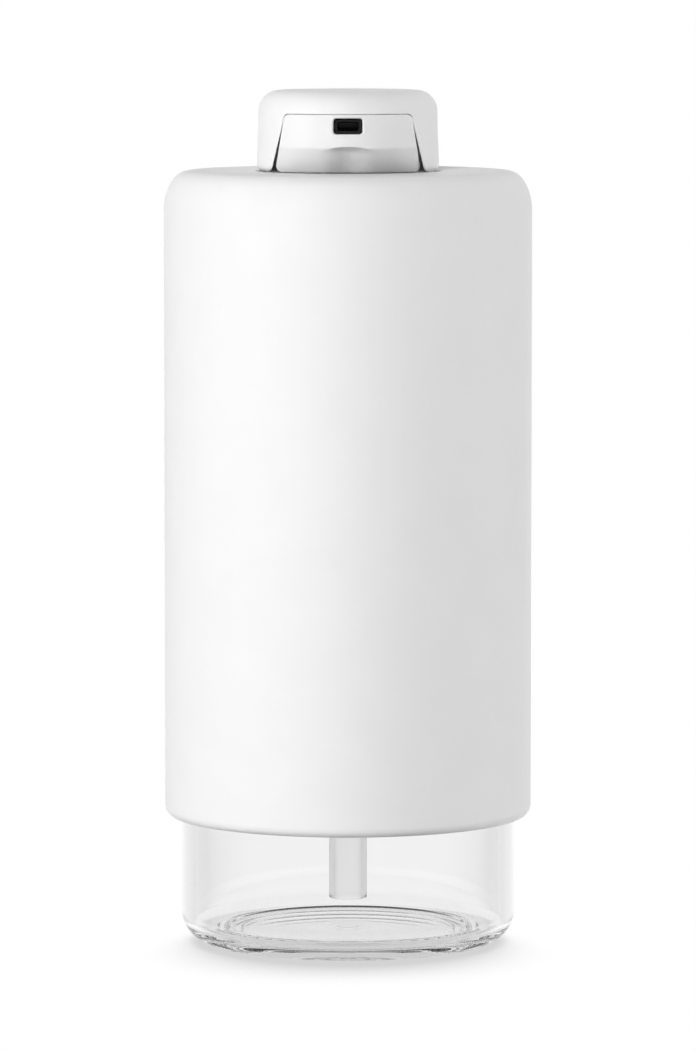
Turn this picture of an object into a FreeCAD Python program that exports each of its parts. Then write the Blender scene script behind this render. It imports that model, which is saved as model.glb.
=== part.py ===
"""Pump dispenser for liquid detergent: a clear bottle in a coated sleeve, with a press head.

Frame: millimetres, +Z up, origin at the centre of the bottle's foot, the spout towards -Y.
Every size is a cell of the sheet. Outlines are written in the sheet's own words, so each sketch
dimension stays bound to the cells that it names.
"""
import FreeCAD, Part
import math
import os
import re
import Sketcher

from FreeCAD import Vector

SIZES = {
    # clear bottle
    "bottle_radius": 32.35,
    "bottle_wall": 2.4,
    "heel_radius": 6.0,
    "base_thickness": 3.0,
    "floor_round": 2.2,
    "push_up": 0.6,
    "rest_width": 1.6,
    "ring_width": 3.3,
    "ring_step": 0.3,
    "body_height": 121.6,
    "bottle_shoulder": 10.0,
    "neck_radius": 19.0,
    "neck_wall": 2.5,
    "neck_length": 16.3,
    # coated sleeve and its liner
    "sleeve_foot": 24.3,
    "sleeve_wall": 0.8,
    "hem_width": 2.85,
    "hem_round": 2.0,
    "hem_clearance": 0.3,
    "shoulder_width": 5.0,
    "shoulder_nose": 4.0,
    "shoulder_sweep": 11.0,
    "liner_height": 9.0,
    "liner_fit": 0.05,
    # screw cap with the well for the head
    "thread_clearance": 0.35,
    "cap_wall": 2.0,
    "skirt_length": 14.0,
    "cap_floor": 2.0,
    "well_depth": 6.4,
    "well_clearance": 0.2,
    "well_wall": 1.6,
    "mouth_step": 0.05,
    "deck_width": 9.4,
    "deck_thickness": 1.5,
    "gusset_thickness": 1.4,
    "gusset_count": 8,
    # pump barrel
    "gasket_thickness": 1.0,
    "flange_thickness": 1.5,
    "flange_inset": 0.6,
    "barrel_bore": 8.0,
    "barrel_wall": 1.4,
    "barrel_depth": 35.8,
    "funnel_drop": 4.0,
    "chamber_radius": 4.0,
    "chamber_depth": 4.8,
    "inlet_radius": 2.2,
    "seat_drop": 2.0,
    "seat_land": 1.2,
    "socket_wall": 2.5,
    "socket_length": 10.0,
    "running_clearance": 0.05,
    "collar_width": 2.3,
    "collar_clearance": 0.3,
    "plug_length": 5.0,
    # inlet valve and dip tube
    "ball_radius": 3.0,
    "ball_clearance": 0.1,
    "cage_thickness": 1.4,
    "cage_cup_height": 1.6,
    "cage_hole": 1.4,
    "cage_port": 0.8,
    "cage_port_count": 4,
    "tube_radius": 3.65,
    "tube_wall": 0.9,
    "tube_gap": 5.4,
    # piston, stem and spring
    "piston_height": 7.0,
    "piston_lip": 1.6,
    "piston_waist": 0.9,
    "piston_clearance": 0.3,
    "stem_radius": 3.5,
    "stem_wall": 1.5,
    "stem_grip": 6.8,
    "cross_hole": 0.6,
    "valve_flange": 1.9,
    "valve_thickness": 1.1,
    "valve_gap": 0.4,
    "valve_shank": 1.5,
    "pilot_length": 3.0,
    "spring_radius": 4.6,
    "wire_radius": 0.45,
    "spring_turns": 7,
    "spring_clearance": 0.1,
    # press head
    "hood_gap": 0.15,
    "hood_radius": 17.55,
    "hood_draft": 0.33,
    "hood_height": 15.35,
    "hood_wall": 1.8,
    "hood_roof": 2.0,
    "hood_round": 4.0,
    "rim_round": 2.4,
    "rim_bead": 1.2,
    "brow_height": 4.3,
    "opening_top": 12.2,
    "opening_foot": 14.9,
    "opening_depth": 9.55,
    "seam_gap": 0.25,
    "foot_gap": 0.6,
    "spout_wall": 2.4,
    "lip_drop": 6.4,
    "undercut": 2.4,
    "spout_lift": 0.3,
    "window_width": 5.5,
    "window_height": 3.0,
    "window_drop": 0.75,
    "window_round": 0.6,
    "scoop_width": 6.6,
    "scoop_rise": 0.3,
    "scoop_depth": 2.6,
    "plate_thickness": 1.6,
    "plate_clearance": 0.2,
    "boss_wall": 2.1,
    "channel_radius": 2.4,
    "channel_bore": 1.2,
    "nozzle_length": 3.4,
    "nozzle_recess": 1.1,
    "nozzle_clearance": 0.15,
    "nozzle_wall": 0.6,
}

# heights and radii that several pieces share, in the sheet's words
MOUTH = "(body_height + neck_length)"
FLANGE_FOOT = f"({MOUTH} + gasket_thickness)"
FLANGE_TOP = f"({FLANGE_FOOT} + flange_thickness)"
WELL_FLOOR = f"({FLANGE_TOP} + cap_floor)"
DECK_TOP = f"({WELL_FLOOR} + well_depth)"
SLEEVE_TOP = f"({DECK_TOP} + sleeve_wall)"
SLEEVE_RADIUS = "(bottle_radius + hem_clearance + hem_width)"
WELL_RADIUS = "(hood_radius + well_clearance)"
BARREL_FLOOR = f"({FLANGE_TOP} - barrel_depth)"
SEAT_TOP = f"({BARREL_FLOOR} - chamber_depth)"
SEAT_FOOT = f"({SEAT_TOP} - seat_drop)"
SOCKET_TOP = f"({SEAT_FOOT} - seat_land)"
SPRING_FOOT = f"({BARREL_FLOOR} + cage_thickness + spring_clearance)"
PISTON_TOP = f"({FLANGE_TOP} - plug_length - piston_clearance)"
PISTON_FOOT = f"({PISTON_TOP} - piston_height)"
STEM_FOOT = f"({PISTON_FOOT} - valve_gap)"
VALVE_FOOT = f"({STEM_FOOT} - valve_thickness)"
HOOD_FOOT = f"({SLEEVE_TOP} + hood_gap)"
HOOD_TOP = f"({HOOD_FOOT} + hood_height)"
ROOF = f"({HOOD_TOP} - hood_roof)"
SEAM = f"({HOOD_TOP} - brow_height)"
STEM_TOP = f"({HOOD_FOOT} + stem_grip)"
OUTLET = f"({SEAM} - window_drop - window_height / 2)"
OPENING_BACK = "(hood_radius - opening_depth)"
FUNCTIONS = "sqrt"

doc = FreeCAD.newDocument("dispenser")
sheet = doc.addObject("Spreadsheet::Sheet", "Sizes")


def fill_sheet():
    """Write one row for each size: its name in column A, its number with an alias in column B."""
    for row, (name, size) in enumerate(SIZES.items(), start=1):
        sheet.set(f"A{row}", name)
        sheet.set(f"B{row}", str(size))
        sheet.setAlias(f"B{row}", name)
    doc.recompute()


def bound(words):
    """Turn a formula in the sheet's words into one that any object of the document can hold."""
    return re.sub(rf"\b(?!{FUNCTIONS}\b)([a-z]\w*)", r"Sizes.\1", words)


def number(words):
    """The present value of a formula in the sheet's words."""
    return float(sheet.evalExpression(bound(words)))


def new_body(name):
    body = doc.addObject("PartDesign::Body", name)
    body.Label = name
    return body


def new_sketch(body, name, role, offset=None):
    """A sketch on one of the body's origin planes, moved along the plane's normal by offset."""
    plane = next(feature for feature in body.Origin.OriginFeatures if feature.Role == role)
    sketch = body.newObject("Sketcher::SketchObject", name)
    sketch.AttachmentSupport = [(plane, "")]
    sketch.MapMode = "FlatFace"
    if offset:
        sketch.setExpression("AttachmentOffset.Base.z", bound(offset))
    return sketch


def dimension(sketch, kind, geometry, end, words):
    """Bind one coordinate of a sketch point; a bare zero lies on the sketch's own axis."""
    if words == "0":
        axis = -2 if kind == "DistanceX" else -1
        sketch.addConstraint(Sketcher.Constraint("PointOnObject", geometry, end, axis))
        return
    index = sketch.addConstraint(Sketcher.Constraint(kind, geometry, end, number(words)))
    sketch.setExpression(f"Constraints[{index}]", bound(words))


def arc_between(start, end, radius, turn):
    """The arc under a half circle from start to end; turn is 1 to the left and -1 to the right."""
    chord = end - start
    left = Vector(-chord.y, chord.x, 0).normalize()
    rise = math.sqrt(max(radius ** 2 - chord.Length ** 2 / 4, 0))
    centre = start + chord / 2 + left * (turn * rise)
    first, last = (start, end) if turn > 0 else (end, start)
    angles = [math.atan2(place.y - centre.y, place.x - centre.x) for place in (first, last)]
    return Part.ArcOfCircle(Part.Circle(centre, Vector(0, 0, 1), radius), *angles)


def outline(sketch, points):
    """Draw a closed loop. A point is (x, y), or (x, y, radius, turn) where an arc arrives at it."""
    places = [Vector(number(point[0]), number(point[1]), 0) for point in points]
    sides = []
    for index, place in enumerate(places):
        follower = (index + 1) % len(points)
        if len(points[follower]) == 2:
            geometry = sketch.addGeometry(Part.LineSegment(place, places[follower]))
            sides.append((geometry, 1, 2))
            continue
        radius, turn = points[follower][2:]
        arc = arc_between(place, places[follower], number(radius), turn)
        geometry = sketch.addGeometry(arc)
        sides.append((geometry, 1, 2) if turn > 0 else (geometry, 2, 1))
    for index, (geometry, begin, end) in enumerate(sides):
        following = sides[(index + 1) % len(sides)]
        sketch.addConstraint(Sketcher.Constraint("Coincident", geometry, end, following[0], following[1]))
        dimension(sketch, "DistanceX", geometry, begin, points[index][0])
        dimension(sketch, "DistanceY", geometry, begin, points[index][1])
    for index, (geometry, begin, end) in enumerate(sides):
        arrival = points[(index + 1) % len(points)]
        if len(arrival) == 4:
            held = sketch.addConstraint(Sketcher.Constraint("Radius", geometry, number(arrival[2])))
            sketch.setExpression(f"Constraints[{held}]", bound(arrival[2]))
    return sketch


def circle(sketch, x, y, radius):
    centre = Vector(number(x), number(y), 0)
    geometry = sketch.addGeometry(Part.Circle(centre, Vector(0, 0, 1), number(radius)))
    dimension(sketch, "DistanceX", geometry, 3, x)
    dimension(sketch, "DistanceY", geometry, 3, y)
    held = sketch.addConstraint(Sketcher.Constraint("Radius", geometry, number(radius)))
    sketch.setExpression(f"Constraints[{held}]", bound(radius))
    return sketch


def rectangle(sketch, half_width, low, high):
    """A rectangle that is even about the sketch's upright axis."""
    left = f"-{half_width}"
    return outline(sketch, [(left, low), (half_width, low), (half_width, high), (left, high)])


def rounded_rectangle(sketch, half_width, middle, half_height, radius):
    """A rectangle about the sketch's upright axis and a middle height, with round corners."""
    low = f"({middle} - {half_height})"
    high = f"({middle} + {half_height})"
    return outline(sketch, [
        (f"{radius} - {half_width}", low, radius, 1),
        (f"{half_width} - {radius}", low),
        (half_width, f"{low} + {radius}", radius, 1),
        (half_width, f"{high} - {radius}"),
        (f"{half_width} - {radius}", high, radius, 1),
        (f"{radius} - {half_width}", high),
        (f"-{half_width}", f"{high} - {radius}", radius, 1),
        (f"-{half_width}", f"{low} + {radius}"),
    ])


def turned(body, points, role="XZ_Plane", angle=360.0):
    """Revolve an outline of (radius, height) points about Z, evenly on both sides of its plane."""
    sketch = outline(new_sketch(body, body.Name + "_outline", role), points)
    feature = body.newObject("PartDesign::Revolution", body.Name + "_turned")
    feature.Profile = sketch
    feature.ReferenceAxis = (sketch, ["V_Axis"])
    feature.Angle = angle
    feature.Midplane = angle < 360.0
    doc.recompute()
    return feature


def pad(body, name, sketch, length, both_ways=False):
    feature = body.newObject("PartDesign::Pad", name)
    feature.Profile = sketch
    feature.setExpression("Length", bound(length))
    feature.Midplane = both_ways
    doc.recompute()
    return feature


def pocket(body, name, sketch, length, forward=True, both_ways=False):
    """Cut a sketch into the body, along the sketch's normal when forward, and see that it cuts."""
    before = body.Shape.Volume
    feature = body.newObject("PartDesign::Pocket", name)
    feature.Profile = sketch
    feature.setExpression("Length", bound(length))
    feature.Reversed = forward
    feature.Midplane = both_ways
    doc.recompute()
    if body.Shape.Volume >= before:
        raise RuntimeError(f"{name} removes nothing")
    return feature


def repeated(body, name, feature, axis_sketch, count):
    """Copies of a feature spaced evenly about Z."""
    pattern = body.newObject("PartDesign::PolarPattern", name)
    pattern.Originals = [feature]
    pattern.Axis = (axis_sketch, ["V_Axis"])
    pattern.Angle = 360
    pattern.setExpression("Occurrences", bound(count))
    body.Tip = pattern
    doc.recompute()
    return pattern


def make_bottle():
    """Thick clear wall on a rounded heel, a stepped push-up under the base, a round shoulder and neck."""
    body = new_body("bottle")
    inner = "(bottle_radius - bottle_wall)"
    step = "(bottle_radius - heel_radius - rest_width)"
    bore = "(neck_radius - neck_wall)"
    ledge = "(bottle_radius - bottle_shoulder)"
    wall_top = "(body_height - bottle_shoulder)"
    ring = f"({step} - push_up - ring_width)"
    turned(body, [
        ("0", "push_up + ring_step"),
        (f"{ring} - ring_step", "push_up + ring_step"),
        (ring, "push_up"),
        (f"{step} - push_up", "push_up"),
        (step, "0"),
        ("bottle_radius - heel_radius", "0"),
        ("bottle_radius", "heel_radius", "heel_radius", 1),
        ("bottle_radius", wall_top),
        (ledge, "body_height", "bottle_shoulder", 1),
        ("neck_radius", "body_height"),
        ("neck_radius", MOUTH),
        (bore, MOUTH),
        (bore, "body_height - bottle_wall"),
        (ledge, "body_height - bottle_wall"),
        (inner, wall_top, "bottle_shoulder - bottle_wall", -1),
        (inner, "base_thickness + floor_round"),
        (f"{inner} - floor_round", "base_thickness", "floor_round", -1),
        ("0", "base_thickness"),
    ])
    return body


def make_sleeve():
    """Sheet shell: flat top with a mouth, a shoulder of a small and a large arc, a hem turned in."""
    body = new_body("sleeve")
    spread = "(shoulder_sweep - shoulder_width)"
    reach = "(shoulder_sweep - shoulder_nose)"
    drop = f"sqrt({reach}^2 - {spread}^2)"
    flat_edge = f"({SLEEVE_RADIUS} - shoulder_width)"
    nose_height = f"({SLEEVE_TOP} - shoulder_nose)"
    wall_top = f"({nose_height} - {drop})"
    mouth = f"({WELL_RADIUS} + mouth_step)"
    hem_edge = "(bottle_radius + hem_clearance)"
    hem_start = f"({SLEEVE_RADIUS} - hem_round)"

    def join(nose):
        """Where the two arcs of the shoulder meet, for a nose of the given radius."""
        return (f"{flat_edge} + {nose} * {spread} / {reach}", f"{nose_height} + {nose} * {drop} / {reach}")

    thin = "(shoulder_nose - sleeve_wall)"
    turned(body, [
        (mouth, DECK_TOP),
        (flat_edge, DECK_TOP),
        (*join(thin), thin, -1),
        (f"{SLEEVE_RADIUS} - sleeve_wall", wall_top, "shoulder_sweep - sleeve_wall", -1),
        (f"{SLEEVE_RADIUS} - sleeve_wall", "sleeve_foot + hem_round"),
        (hem_start, "sleeve_foot + sleeve_wall", "hem_round - sleeve_wall", -1),
        (hem_edge, "sleeve_foot + sleeve_wall"),
        (hem_edge, "sleeve_foot"),
        (hem_start, "sleeve_foot"),
        (SLEEVE_RADIUS, "sleeve_foot + hem_round", "hem_round", 1),
        (SLEEVE_RADIUS, wall_top),
        (*join("shoulder_nose"), "shoulder_sweep", 1),
        (flat_edge, SLEEVE_TOP, "shoulder_nose", 1),
        (mouth, SLEEVE_TOP),
    ])
    return body


def make_sleeve_liner():
    """Ring that stands on the hem and keeps the sheet off the bottle."""
    body = new_body("sleeve_liner")
    seat = "(sleeve_foot + sleeve_wall)"
    outside = f"({SLEEVE_RADIUS} - sleeve_wall - liner_fit)"
    relief = "(hem_round - sleeve_wall)"
    hem_edge = "(bottle_radius + hem_clearance)"
    turned(body, [
        (hem_edge, seat),
        (f"{SLEEVE_RADIUS} - hem_round", seat),
        (outside, f"{seat} + {relief}"),
        (outside, f"{seat} + liner_height"),
        (hem_edge, f"{seat} + liner_height"),
    ])
    return body


def make_screw_cap():
    """Threaded skirt, the well that the head sinks into, and a gusseted deck that carries the sleeve."""
    body = new_body("screw_cap")
    skirt_inside = "(neck_radius + thread_clearance)"
    skirt_outside = f"({skirt_inside} + cap_wall)"
    well_outside = f"({WELL_RADIUS} + well_wall)"
    deck_edge = f"({well_outside} + deck_width)"
    deck_foot = f"({DECK_TOP} - deck_thickness)"
    hole = "(barrel_bore + collar_width + collar_clearance)"
    turned(body, [
        (hole, FLANGE_TOP),
        (skirt_inside, FLANGE_TOP),
        (skirt_inside, f"{FLANGE_TOP} - skirt_length"),
        (skirt_outside, f"{FLANGE_TOP} - skirt_length"),
        (skirt_outside, FLANGE_TOP),
        (well_outside, WELL_FLOOR),
        (well_outside, deck_foot),
        (deck_edge, deck_foot),
        (deck_edge, DECK_TOP),
        (WELL_RADIUS, DECK_TOP),
        (WELL_RADIUS, WELL_FLOOR),
        (hole, WELL_FLOOR),
    ])
    sketch = outline(new_sketch(body, "gusset_outline", "XZ_Plane"), [
        (f"{well_outside} - well_wall / 2", WELL_FLOOR),
        (f"{well_outside} + deck_thickness", WELL_FLOOR),
        (f"{deck_edge} - deck_thickness", f"{deck_foot} - deck_thickness / 2"),
        (f"{deck_edge} - deck_thickness", f"{DECK_TOP} - deck_thickness / 2"),
        (f"{well_outside} - well_wall / 2", f"{DECK_TOP} - deck_thickness / 2"),
    ])
    gusset = pad(body, "gusset", sketch, "gusset_thickness", both_ways=True)
    repeated(body, "gussets", gusset, sketch, "gusset_count")
    return body


def make_neck_gasket():
    """Flat ring on the bottle's mouth, under the pump's flange."""
    body = new_body("neck_gasket")
    turned(body, [
        ("neck_radius - neck_wall", MOUTH),
        ("neck_radius - flange_inset", MOUTH),
        ("neck_radius - flange_inset", FLANGE_FOOT),
        ("neck_radius - neck_wall", FLANGE_FOOT),
    ])
    return body


def make_pump_housing():
    """Barrel hung from its flange, with a funnel, the inlet valve's conical seat and the tube's socket."""
    body = new_body("pump_housing")
    outside = "(barrel_bore + barrel_wall)"
    socket_inside = "(tube_radius + running_clearance)"
    socket_outside = f"({socket_inside} + socket_wall)"
    turned(body, [
        ("barrel_bore", FLANGE_TOP),
        ("barrel_bore", BARREL_FLOOR),
        ("chamber_radius", BARREL_FLOOR),
        ("chamber_radius", SEAT_TOP),
        ("inlet_radius", SEAT_FOOT),
        ("inlet_radius", SOCKET_TOP),
        (socket_inside, SOCKET_TOP),
        (socket_inside, f"{SOCKET_TOP} - socket_length"),
        (socket_outside, f"{SOCKET_TOP} - socket_length"),
        (socket_outside, f"{BARREL_FLOOR} - funnel_drop"),
        (outside, BARREL_FLOOR),
        (outside, FLANGE_FOOT),
        ("neck_radius - flange_inset", FLANGE_FOOT),
        ("neck_radius - flange_inset", FLANGE_TOP),
    ])
    return body


def make_chaplet():
    """Plug in the barrel's mouth that guides the stem; its collar stands in the cap's floor."""
    body = new_body("chaplet")
    guide = "(stem_radius + running_clearance)"
    plug = "(barrel_bore - running_clearance)"
    turned(body, [
        (guide, f"{FLANGE_TOP} - plug_length"),
        (plug, f"{FLANGE_TOP} - plug_length"),
        (plug, FLANGE_TOP),
        ("barrel_bore + collar_width", FLANGE_TOP),
        ("barrel_bore + collar_width", f"{WELL_FLOOR} - collar_clearance"),
        (guide, f"{WELL_FLOOR} - collar_clearance"),
    ])
    return body


def make_dip_tube():
    body = new_body("dip_tube")
    low = "(base_thickness + tube_gap)"
    turned(body, [
        ("tube_radius - tube_wall", low),
        ("tube_radius", low),
        ("tube_radius", SOCKET_TOP),
        ("tube_radius - tube_wall", SOCKET_TOP),
    ])
    return body


def make_spring_seat():
    """Cupped disc on the barrel's floor, holed for the liquid, that traps the ball below it."""
    body = new_body("spring_seat")
    cup = "(spring_radius + wire_radius + 2 * spring_clearance)"
    disc_top = f"({BARREL_FLOOR} + cage_thickness)"
    turned(body, [
        ("cage_hole", BARREL_FLOOR),
        ("barrel_bore - running_clearance", BARREL_FLOOR),
        ("barrel_bore - running_clearance", f"{disc_top} + cage_cup_height"),
        (cup, f"{disc_top} + cage_cup_height"),
        (cup, disc_top),
        ("cage_hole", disc_top),
    ])
    axis = body.Group[0]
    sketch = new_sketch(body, "port_outline", "XY_Plane", BARREL_FLOOR)
    circle(sketch, "chamber_radius - cage_port", "0", "cage_port")
    port = pocket(body, "port", sketch, "cage_thickness")
    repeated(body, "ports", port, axis, "cage_port_count")
    return body


def make_inlet_ball():
    """Ball resting in the conical seat: its centre lies where the cone is a radius and a gap away."""
    flank = "(chamber_radius - inlet_radius)"
    slant = f"sqrt({flank}^2 + seat_drop^2)"
    height = f"{SEAT_FOOT} + ((ball_radius + ball_clearance) * {slant} - inlet_radius * seat_drop) / {flank}"
    ball = doc.addObject("Part::Sphere", "inlet_ball")
    ball.Label = "inlet_ball"
    ball.setExpression("Radius", bound("ball_radius"))
    ball.setExpression("Placement.Base.z", bound(height))
    return ball


def make_piston():
    """Ring with a lip at each end that wipes the barrel, sliding on the stem."""
    body = new_body("piston")
    bore = "(stem_radius + running_clearance)"
    lip = "(barrel_bore - running_clearance)"
    waist = f"({lip} - piston_waist)"
    turned(body, [
        (bore, PISTON_FOOT),
        (lip, PISTON_FOOT),
        (lip, f"{PISTON_FOOT} + piston_lip"),
        (waist, f"{PISTON_FOOT} + piston_lip + piston_waist"),
        (waist, f"{PISTON_TOP} - piston_lip - piston_waist"),
        (lip, f"{PISTON_TOP} - piston_lip"),
        (lip, PISTON_TOP),
        (bore, PISTON_TOP),
    ])
    return body


def make_stem():
    """Hollow rod, cross-drilled just above its foot for the liquid's way in."""
    body = new_body("stem")
    turned(body, [
        ("stem_radius - stem_wall", STEM_FOOT),
        ("stem_radius", STEM_FOOT),
        ("stem_radius", STEM_TOP),
        ("stem_radius - stem_wall", STEM_TOP),
    ])
    sketch = new_sketch(body, "cross_hole_outline", "XZ_Plane")
    circle(sketch, "0", f"{STEM_FOOT} + valve_shank + cross_hole", "cross_hole")
    through_both_walls = "(2 * stem_radius + stem_wall)"
    pocket(body, "cross_drilling", sketch, through_both_walls, both_ways=True)
    return body


def make_stem_valve():
    """Plug in the stem's foot: shank, valve flange under the piston, pilot inside the spring."""
    body = new_body("stem_valve")
    shank = "(stem_radius - stem_wall - running_clearance)"
    pilot = "(spring_radius - wire_radius - 2 * spring_clearance)"
    turned(body, [
        ("0", f"{VALVE_FOOT} - pilot_length"),
        (f"{pilot} - wire_radius", f"{VALVE_FOOT} - pilot_length"),
        (pilot, f"{VALVE_FOOT} - pilot_length + wire_radius"),
        (pilot, VALVE_FOOT),
        ("stem_radius + valve_flange", VALVE_FOOT),
        ("stem_radius + valve_flange", STEM_FOOT),
        (shank, STEM_FOOT),
        (shank, f"{STEM_FOOT} + valve_shank"),
        ("0", f"{STEM_FOOT} + valve_shank"),
    ])
    return body


def half_arc(start, heading, end):
    """The arc that leaves start along heading and reaches end, from three points."""
    chord = end - start
    along = Vector(chord).normalize()
    side = heading - along * heading.dot(along)
    angle = heading.getAngle(chord)
    middle = start + chord / 2 + side.normalize() * (chord.Length / 2 * math.tan(angle / 2))
    return Part.Arc(start, middle, end).toShape()


def biarc(start, heading, end, arrival):
    """Two arcs that share a tangent and join two points with the given unit headings."""
    span = end - start
    both = span.dot(heading + arrival)
    bend = 2 * (1 - heading.dot(arrival))
    reach = (math.sqrt(both ** 2 + bend * span.dot(span)) - both) / bend
    middle = (start + end + (heading - arrival) * reach) / 2
    turn_back = (end - arrival * reach) - (start + heading * reach)
    return [half_arc(start, heading, middle), half_arc(middle, turn_back.normalize(), end)]


def make_return_spring():
    """Compression spring: a round wire swept along a helix of quarter-turn arcs, one unbroken tube."""
    turns = int(number("spring_turns"))
    radius = number("spring_radius")
    wire = number("wire_radius")
    low = number(SPRING_FOOT) + wire
    rise = number(VALVE_FOOT) - number("spring_clearance") - wire - low
    pitch = rise / turns

    def place(turn):
        angle = 2 * math.pi * turn
        return Vector(radius * math.cos(angle), radius * math.sin(angle), low + pitch * turn)

    def heading(turn):
        angle = 2 * math.pi * turn
        around = 2 * math.pi * radius
        return Vector(-around * math.sin(angle), around * math.cos(angle), pitch).normalize()

    edges = []
    for half in range(2 * turns):
        start, end = half / 2, (half + 1) / 2
        edges += biarc(place(start), heading(start), place(end), heading(end))
    section = Part.Wire(Part.Circle(place(0), heading(0), wire).toShape())
    tube = Part.Wire(edges).makePipeShell([section], True, False)
    spring = doc.addObject("Part::Feature", "return_spring")
    spring.Label = "return_spring"
    spring.Shape = tube
    samples = 40  # points in a turn
    apart = 30  # points, so that a coil is measured against the next coils only
    line = [place(index / samples) for index in range(samples * turns + 1)]
    gap = min(
        (line[first] - line[second]).Length
        for first in range(len(line))
        for second in range(first + apart, len(line))
    )
    print(f"return_spring least gap to itself {gap - 2 * wire:.2f} mm")
    return spring


def hood_radius_at(height):
    """Radius of the head's drafted side at a height."""
    foot = f"({HOOD_FOOT} + rim_round)"
    top = f"({HOOD_TOP} - hood_round)"
    return f"(hood_radius - hood_draft * (({height}) - {foot}) / ({top} - {foot}))"


def make_hood():
    """Press cap with a round top edge, a rim rolled inward and a trapezoid opening at the front."""
    body = new_body("hood")
    top_radius = "(hood_radius - hood_draft)"
    inner_round = "(hood_round - hood_wall)"
    rim_inside = "(hood_radius - rim_round)"
    turned(body, [
        ("0", ROOF),
        (f"{top_radius} - hood_round", ROOF),
        (f"{top_radius} - hood_wall", f"{ROOF} - {inner_round}", inner_round, -1),
        ("hood_radius - hood_wall", f"{HOOD_FOOT} + rim_round"),
        (rim_inside, f"{HOOD_FOOT} + rim_bead"),
        (rim_inside, HOOD_FOOT),
        ("hood_radius", f"{HOOD_FOOT} + rim_round", "rim_round", 1),
        (top_radius, f"{HOOD_TOP} - hood_round"),
        (f"{top_radius} - hood_round", HOOD_TOP, "hood_round", 1),
        ("0", HOOD_TOP),
    ])
    sketch = new_sketch(body, "opening_outline", "XZ_Plane", OPENING_BACK)
    outline(sketch, [
        ("-opening_foot", SLEEVE_TOP),
        ("opening_foot", SLEEVE_TOP),
        ("opening_top", SEAM),
        ("-opening_top", SEAM),
    ])
    pocket(body, "opening", sketch, "hood_radius")
    return body


def make_spout():
    """Front insert: flush with the hood above its lip, slanted back below, with a window and a scoop."""
    body = new_body("spout")
    top = f"({SEAM} - seam_gap)"
    foot = f"({HOOD_FOOT} + spout_lift)"
    lip = f"({SEAM} - lip_drop)"
    lip_radius = hood_radius_at(lip)
    inside = "(hood_radius - hood_draft - spout_wall)"
    turned(body, [
        (f"undercut - {inside}", foot),
        (f"-{inside}", lip),
        (f"-{inside}", top),
        (f"-{hood_radius_at(top)}", top),
        (f"-{lip_radius}", lip),
        (f"undercut - {lip_radius}", foot),
    ], "YZ_Plane", 180.0)
    top_half = "(opening_top - seam_gap)"
    foot_half = "(opening_foot - foot_gap)"
    around = ("(2 * hood_radius)", f"{SLEEVE_TOP} - hood_radius", f"{SEAM} + hood_radius")
    sketch = rectangle(new_sketch(body, "trim_outline", "XZ_Plane"), *around)
    outline(sketch, [
        (f"-{foot_half}", SLEEVE_TOP),
        (foot_half, SLEEVE_TOP),
        (top_half, SEAM),
        (f"-{top_half}", SEAM),
    ])
    pocket(body, "trim", sketch, "2 * hood_radius")
    back = rectangle(new_sketch(body, "back_outline", "XZ_Plane"), *around)
    pocket(body, "back_cut", back, f"{OPENING_BACK} + seam_gap")
    window = new_sketch(body, "window_outline", "XZ_Plane")
    rounded_rectangle(window, "(window_width / 2)", OUTLET, "(window_height / 2)", "window_round")
    pocket(body, "window", window, "2 * hood_radius")
    crown = f"({lip} + scoop_rise)"
    scoop = new_sketch(body, "scoop_outline", "YZ_Plane")
    outline(scoop, [
        ("-2 * hood_radius", SLEEVE_TOP),
        (f"scoop_depth - {lip_radius}", SLEEVE_TOP),
        (f"scoop_depth - {lip_radius}", f"{crown} - scoop_depth"),
        (f"-{lip_radius}", crown, "scoop_depth", 1),
        ("-2 * hood_radius", crown),
    ])
    pocket(body, "scoop", scoop, "scoop_width", both_ways=True)
    return body


def make_nozzle():
    """Short rectangular outlet tip in the spout's window, set back from its face."""
    body = new_body("nozzle")
    back = f"({hood_radius_at(OUTLET)} - nozzle_recess - nozzle_length)"
    sketch = new_sketch(body, "nozzle_outline", "XZ_Plane", back)
    half_width = "(window_width / 2 - nozzle_clearance)"
    half_height = "(window_height / 2 - nozzle_clearance)"
    bore_height = f"({half_height} - nozzle_wall)"
    rounded_rectangle(sketch, half_width, OUTLET, half_height, "(window_round - nozzle_clearance)")
    bore_width = f"({half_width} - nozzle_wall)"
    rectangle(sketch, bore_width, f"{OUTLET} - {bore_height}", f"{OUTLET} + {bore_height}")
    pad(body, "nozzle_tube", sketch, "nozzle_length")
    return body


def make_actuator():
    """Plate under the hood's roof with the stem's socket below it and a channel out to the nozzle."""
    body = new_body("actuator")
    socket = "(stem_radius + running_clearance)"
    boss = f"({socket} + boss_wall)"
    plate_foot = f"({ROOF} - plate_thickness)"
    plate_edge = "(hood_radius - hood_draft - hood_round - plate_clearance)"
    passage_top = f"({OUTLET} + (channel_bore + channel_radius) / 2)"
    turned(body, [
        ("0", ROOF),
        ("0", passage_top),
        ("stem_radius - stem_wall", passage_top),
        ("stem_radius - stem_wall", f"{STEM_TOP} + running_clearance"),
        (socket, f"{STEM_TOP} + running_clearance"),
        (socket, HOOD_FOOT),
        (boss, HOOD_FOOT),
        (boss, plate_foot),
        (plate_edge, plate_foot),
        (plate_edge, ROOF),
    ])
    channel_end = f"({hood_radius_at(OUTLET)} - nozzle_recess - nozzle_length)"
    start = f"({socket} + boss_wall / 2)"
    sketch = new_sketch(body, "channel_outline", "XZ_Plane", start)
    circle(sketch, "0", OUTLET, "channel_radius")
    pad(body, "channel", sketch, f"{channel_end} - {start}")
    bore = circle(new_sketch(body, "channel_bore_outline", "XZ_Plane"), "0", OUTLET, "channel_bore")
    pocket(body, "channel_bore_cut", bore, channel_end)
    return body


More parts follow.
